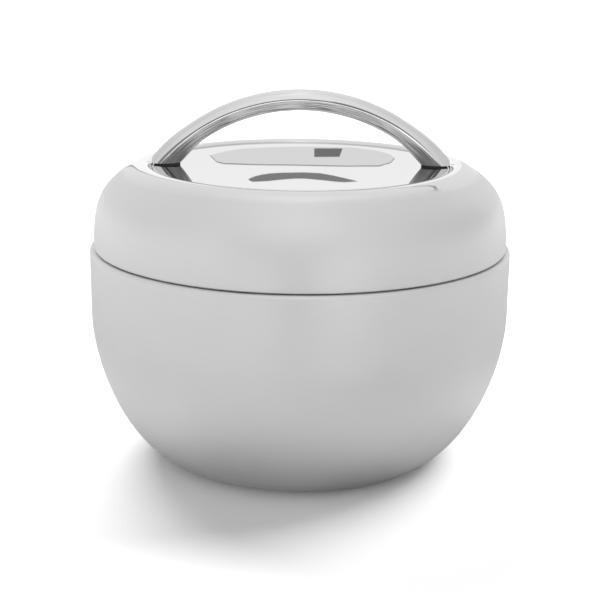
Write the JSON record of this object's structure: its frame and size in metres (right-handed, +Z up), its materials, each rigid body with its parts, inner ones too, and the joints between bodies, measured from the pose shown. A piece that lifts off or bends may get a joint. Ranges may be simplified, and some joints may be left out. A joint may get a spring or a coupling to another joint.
{
  "type": "insulated bowl with lid",
  "caption": "Round double-walled stainless steel food bowl with a domed lift-off lid, a polished dish in its top and an arched tube handle.",
  "frame": {"origin": "middle of the flat ring the bowl stands on, at the height of the table", "axes": "+Z up along the axis of the bowl, +X from foot to foot of the handle, +Y towards the back as seen in the picture"},
  "size_m": [0.165, 0.165, 0.1446],
  "materials": {
    "satin_steel": "fine satin, softly blurred reflections, polished towards the lid's crest",
    "vessel_steel": "electropolished inside",
    "mirror_steel": "mirror polish",
    "polished_tube": "bright polish with fine drawing lines",
    "plain_steel": "plain mill finish",
    "getter_metal": "pressed powder metal",
    "solder": "dull solder",
    "liner_plastic": "fine matte moulding",
    "foam": "rigid foam",
    "seal_silicone": "translucent white silicone",
    "black_rubber": "matte black"
  },
  "bodies": {
    "bowl": {"outer_shell": "satin_steel", "inner_vessel": "vessel_steel", "vacuum_plate": "plain_steel", "getter": "getter_metal", "seal_bead": "solder", "base_cover": "satin_steel"},
    "lid": {"lid_shell": "satin_steel", "lid_dish": "mirror_steel", "lid_liner": "liner_plastic", "lid_foam": "foam", "lid_seal": "seal_silicone", "handle_tube": "polished_tube", "handle_studs": "plain_steel", "handle_gaskets": "black_rubber", "handle_washers": "plain_steel", "handle_nuts": "plain_steel"}
  },
  "joints": [
    {"name": "lid_lift", "type": "slide", "parent": "bowl", "child": "lid", "axis": [0, 0, 1], "range_m": [0, 0.12]}
  ]
}
